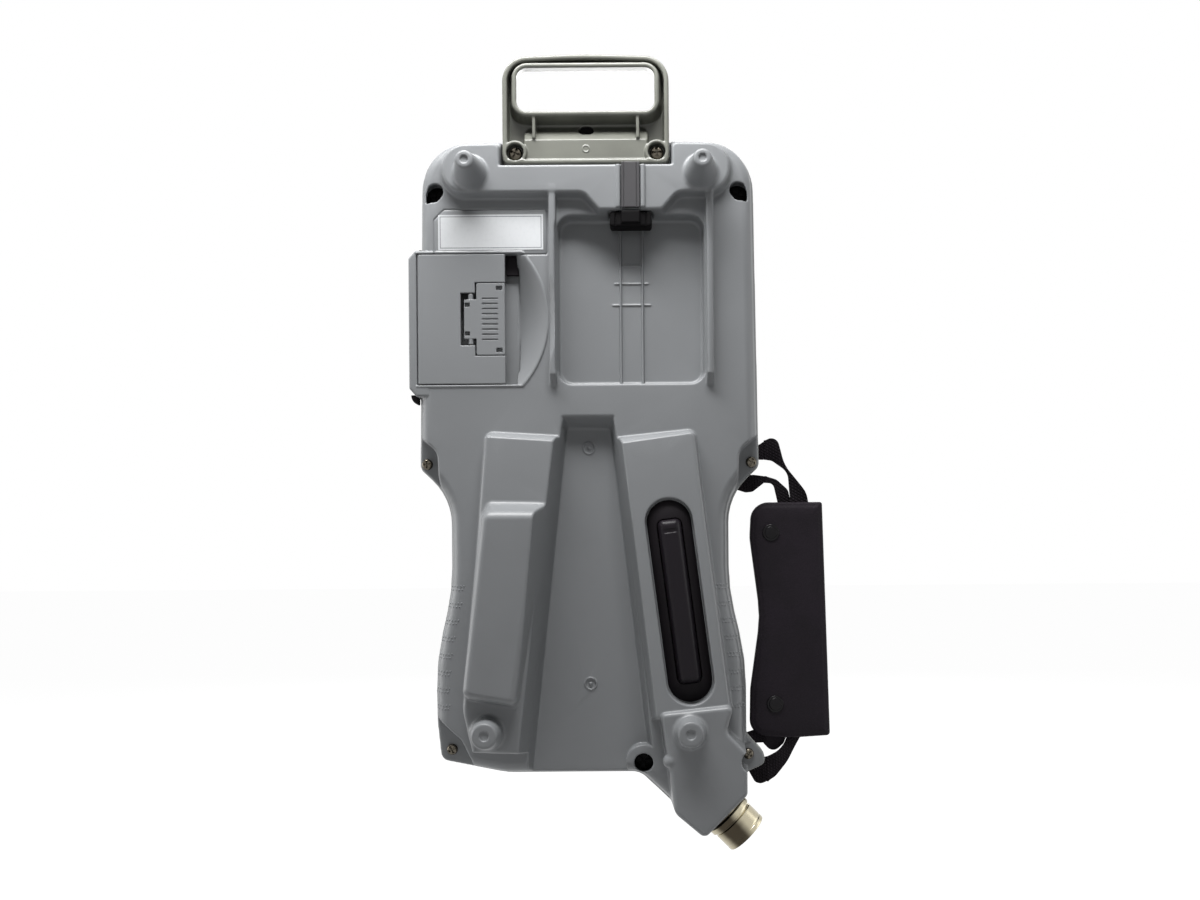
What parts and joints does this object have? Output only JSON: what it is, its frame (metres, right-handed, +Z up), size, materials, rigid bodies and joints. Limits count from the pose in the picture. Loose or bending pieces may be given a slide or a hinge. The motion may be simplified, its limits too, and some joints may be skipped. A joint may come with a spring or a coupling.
{
  "type": "robot teach pendant",
  "caption": "Hand-held robot teach pendant with card door, stick port, enabling switch, hand strap, hanger handle, cable receptacle and emergency stop.",
  "frame": {"origin": "middle of the underside of the top bar of the hanger handle, where the pendant hangs on its hook", "axes": "+Z up the case, +Y out of the display side, so the back seen in use faces -Y, +X to the right as seen from the back"},
  "size_m": [0.2064, 0.08, 0.3873],
  "materials": {
    "housing_plastic": "fine even texture, mid grey",
    "front_plastic": "fine even texture, light warm grey",
    "handle_plastic": "fine texture, olive grey",
    "door_plastic": "fine texture, mid grey",
    "black_rubber": "matt",
    "black_plastic": "satin black",
    "plated_steel": "satin",
    "nickel_shell": "dull nickel",
    "contact_brass": "gold plated contacts",
    "board_laminate": "green solder mask",
    "label_film": "blank white film",
    "window_glass": "dark touch window",
    "module_case": "display module",
    "key_film": "embossed key film",
    "stop_red": "red mushroom head",
    "stop_yellow": "yellow collar",
    "start_green": "green cap",
    "hold_white": "white cap",
    "switch_case": "dark switch housings",
    "web_fabric": "woven black webbing",
    "sleeve_leather": "padded black sleeve"
  },
  "bodies": {
    "case": {"rear_cover": "housing_plastic", "front_cover": "front_plastic", "case_gasket": "black_rubber", "case_screws": "plated_steel", "long_screws": "plated_steel", "hanger_handle": "handle_plastic", "handle_screws": "plated_steel", "blank_label": "label_film", "door_pin": "plated_steel", "card_reader": "black_plastic", "door_bumper": "black_rubber", "channel_plug": "black_rubber", "port_shell": "nickel_shell", "port_board": "board_laminate", "cap_strap": "black_rubber", "switch_boot": "black_rubber", "switch_block": "switch_case", "receptacle_shell": "nickel_shell", "receptacle_nut": "nickel_shell", "receptacle_insert": "black_plastic", "receptacle_pins": "contact_brass", "touch_window": "window_glass", "display_module": "module_case", "key_sheet": "key_film", "key_plate": "plated_steel", "main_board": "board_laminate", "board_spacers": "contact_brass", "stop_collar": "stop_yellow", "stop_block": "switch_case", "mode_barrel": "plated_steel", "mode_block": "switch_case", "button_bezels": "plated_steel", "button_switches": "switch_case", "strap_tabs": "web_fabric"},
    "stop_plunger": {"stop_plunger": "black_plastic"},
    "stop_head": {"stop_head": "stop_red"},
    "mode_key": {"mode_rotor": "plated_steel", "mode_key": "nickel_shell"},
    "start_button": {"start_button": "start_green"},
    "hold_button": {"hold_button": "hold_white"},
    "key_bar": {"key_bar": "black_rubber"},
    "card_door": {"card_door": "door_plastic", "latch_pin": "plated_steel", "latch_spring": "plated_steel"},
    "door_latch": {"door_latch": "door_plastic"},
    "port_cap": {"port_cap": "black_rubber"},
    "hand_strap": {"strap_web": "web_fabric", "strap_sleeve": "sleeve_leather", "strap_snaps": "black_plastic"}
  },
  "joints": [
    {"name": "stop_press", "type": "slide", "parent": "case", "child": "stop_plunger", "axis": [0, -1, 0], "range_m": [0, 0.004]},
    {"name": "stop_turn", "type": "hinge", "parent": "stop_plunger", "child": "stop_head", "pos_m": [-0.05, 0.0322, -0.063], "axis": [0, 1, 0], "range_deg": [0, 35], "stiffness_Nm_per_rad": 0.05},
    {"name": "mode_turn", "type": "hinge", "parent": "case", "child": "mode_key", "pos_m": [0.05, 0.0235, -0.063], "axis": [0, 1, 0], "range_deg": [-45, 45]},
    {"name": "start_press", "type": "slide", "parent": "case", "child": "start_button", "axis": [0, -1, 0], "range_m": [0, 0.0015], "stiffness_N_per_m": 1200},
    {"name": "hold_press", "type": "slide", "parent": "case", "child": "hold_button", "axis": [0, -1, 0], "range_m": [0, 0.0015], "stiffness_N_per_m": 1200},
    {"name": "enable_press", "type": "slide", "parent": "case", "child": "key_bar", "axis": [0, 1, 0], "range_m": [0, 0.0035], "stiffness_N_per_m": 1500},
    {"name": "door_swing", "type": "hinge", "parent": "case", "child": "card_door", "pos_m": [-0.0813, -0.0018, -0.123], "axis": [0, 0, -1], "range_deg": [0, 90]},
    {"name": "latch_lift", "type": "hinge", "parent": "card_door", "child": "door_latch", "pos_m": [-0.0568, -0.0022, -0.123], "axis": [0, 0, -1], "range_deg": [0, 20], "stiffness_Nm_per_rad": 0.02},
    {"name": "cap_lift", "type": "hinge", "parent": "case", "child": "port_cap", "pos_m": [0.0216, -0.0094, -0.0709], "axis": [-1, 0, 0], "range_deg": [0, 120], "stiffness_Nm_per_rad": 0.01},
    {"name": "strap_swing", "type": "hinge", "parent": "case", "child": "hand_strap", "pos_m": [0.088, 0.0145, -0.27], "axis": [0, 0, 1], "range_deg": [-80, 80]}
  ]
}
